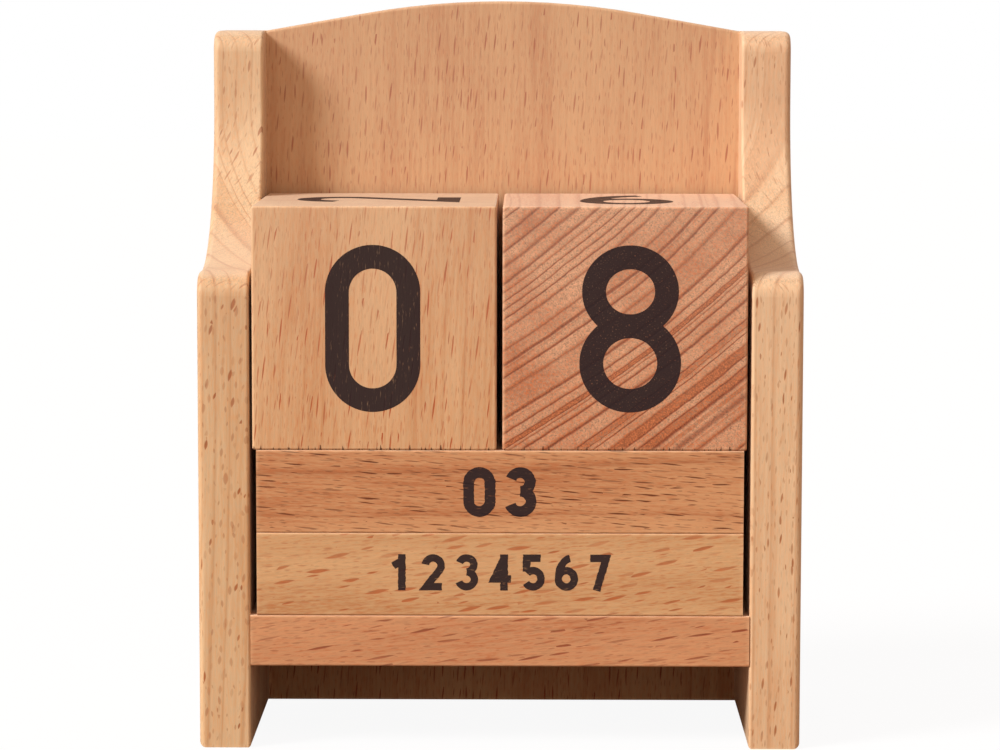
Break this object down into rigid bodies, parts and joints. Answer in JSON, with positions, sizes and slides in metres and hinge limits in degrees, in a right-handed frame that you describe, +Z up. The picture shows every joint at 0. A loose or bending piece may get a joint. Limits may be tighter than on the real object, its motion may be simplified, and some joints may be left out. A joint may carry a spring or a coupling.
{
  "type": "perpetual desk calendar",
  "caption": "Wooden perpetual desk calendar: an arched stand holds loose number cubes above rows of square bars that are drawn out and turned to set the date.",
  "frame": {"origin": "on the table, under the middle of the stand's footprint", "axes": "+X to the reader's right, +Y away from the reader towards the back panel, +Z up"},
  "size_m": [0.1122, 0.0564, 0.139],
  "materials": {
    "beech_side": "sanded, bare",
    "beech_back": "sanded, bare",
    "beech_shelf": "sanded, bare",
    "beech_tens_cube": "sanded, bare",
    "beech_units_cube": "sanded, bare",
    "beech_month_bar": "sanded, bare",
    "beech_day_bar": "sanded, bare",
    "birch_dowel": "sanded, bare",
    "printing_ink": "matt ink printed on bare wood"
  },
  "bodies": {
    "stand": {"left_side": "beech_side", "right_side": "beech_side", "back_panel": "beech_back", "shelf": "beech_shelf", "shelf_dowels_left": "birch_dowel", "shelf_dowels_right": "birch_dowel", "back_dowels_left": "birch_dowel", "back_dowels_right": "birch_dowel"},
    "tens_cube": {"tens_cube": "beech_tens_cube"},
    "units_cube": {"units_cube": "beech_units_cube"},
    "month_rear": {"month_bar_rear": "beech_month_bar"},
    "month_middle": {"month_bar_middle": "beech_month_bar"},
    "month_front": {"month_bar_front": "beech_month_bar"},
    "day_rear": {"day_bar_rear": "beech_day_bar"},
    "day_middle": {"day_bar_middle": "beech_day_bar"},
    "day_front": {"day_bar_front": "beech_day_bar"}
  },
  "joints": [
    {"name": "tens_cube_lift", "type": "slide", "parent": "stand", "child": "tens_cube", "axis": [0, 0, 1], "range_m": [0, 0.09]},
    {"name": "units_cube_lift", "type": "slide", "parent": "stand", "child": "units_cube", "axis": [0, 0, 1], "range_m": [0, 0.09]},
    {"name": "month_bar_rear_draw", "type": "slide", "parent": "stand", "child": "month_rear", "axis": [0, -1, 0], "range_m": [0, 0.0515]},
    {"name": "month_bar_middle_draw", "type": "slide", "parent": "month_rear", "child": "month_middle", "axis": [0, -1, 0], "range_m": [0, 0.036]},
    {"name": "month_bar_front_draw", "type": "slide", "parent": "month_middle", "child": "month_front", "axis": [0, -1, 0], "range_m": [0, 0.0205]},
    {"name": "day_bar_rear_draw", "type": "slide", "parent": "stand", "child": "day_rear", "axis": [0, -1, 0], "range_m": [0, 0.0515]},
    {"name": "day_bar_middle_draw", "type": "slide", "parent": "day_rear", "child": "day_middle", "axis": [0, -1, 0], "range_m": [0, 0.036]},
    {"name": "day_bar_front_draw", "type": "slide", "parent": "day_middle", "child": "day_front", "axis": [0, -1, 0], "range_m": [0, 0.0205]}
  ]
}
